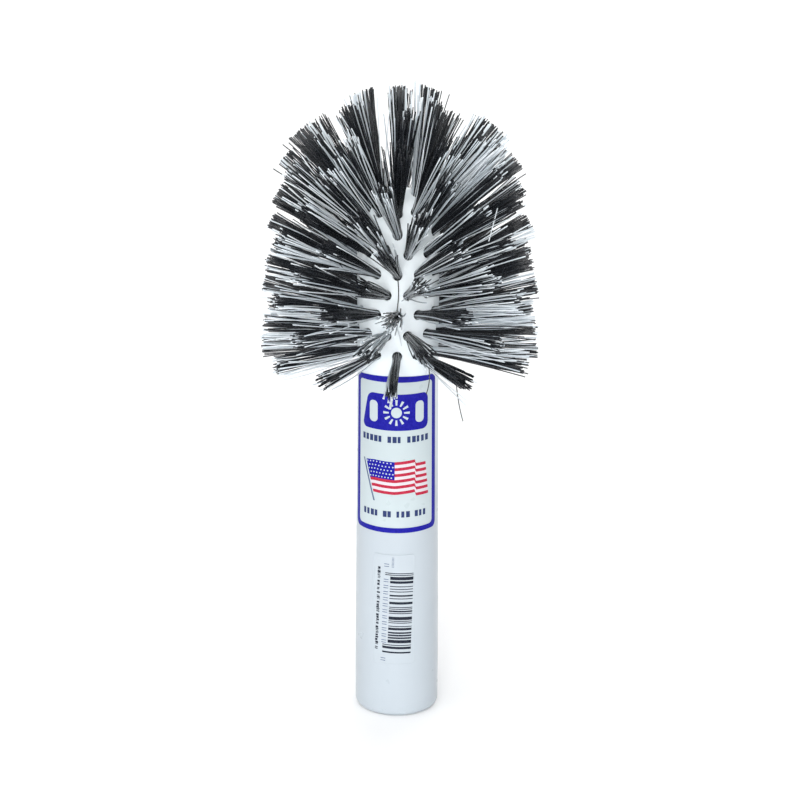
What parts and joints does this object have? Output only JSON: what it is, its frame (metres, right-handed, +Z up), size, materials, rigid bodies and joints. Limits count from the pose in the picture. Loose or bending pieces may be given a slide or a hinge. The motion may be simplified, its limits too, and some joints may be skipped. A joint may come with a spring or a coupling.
{
  "type": "round-head hand brush",
  "caption": "Hand brush with a round head of stiff plastic filament tufts on a straight, slightly tapered white plastic handle.",
  "frame": {"origin": "centre of the handle's flat end, where the brush stands", "axes": "+Z runs up the handle to the brush head; -Y is the side with the labels"},
  "size_m": [0.099, 0.099, 0.2286],
  "materials": {
    "handle_plastic": "smooth white moulded plastic",
    "dark_filament": "drawn black plastic filament",
    "pale_filament": "drawn pale grey plastic filament",
    "label_film": "printed white label film",
    "clear_film": "glossy see-through label film",
    "blue_ink": "printed blue ink",
    "red_ink": "printed red ink",
    "black_ink": "printed black ink",
    "staple_wire": "bright drawn steel wire"
  },
  "bodies": {
    "root": {"barcode_label": "clear_film", "handle_block": "handle_plastic", "product_label": "label_film", "staples_crown": "staple_wire", "staples_dome_high": "staple_wire", "staples_dome_low": "staple_wire", "staples_row_1": "staple_wire", "staples_row_2": "staple_wire", "staples_row_3": "staple_wire", "staples_row_4": "staple_wire", "staples_row_5": "staple_wire", "staples_row_6": "staple_wire", "staples_row_7": "staple_wire", "tufts_crown": "dark_filament", "tufts_dome_high": "dark_filament", "tufts_dome_low": "dark_filament", "tufts_row_1": "dark_filament", "tufts_row_2": "dark_filament", "tufts_row_3": "dark_filament", "tufts_row_4": "dark_filament", "tufts_row_5": "dark_filament", "tufts_row_6": "dark_filament", "tufts_row_7": "dark_filament"}
  },
  "joints": []
}
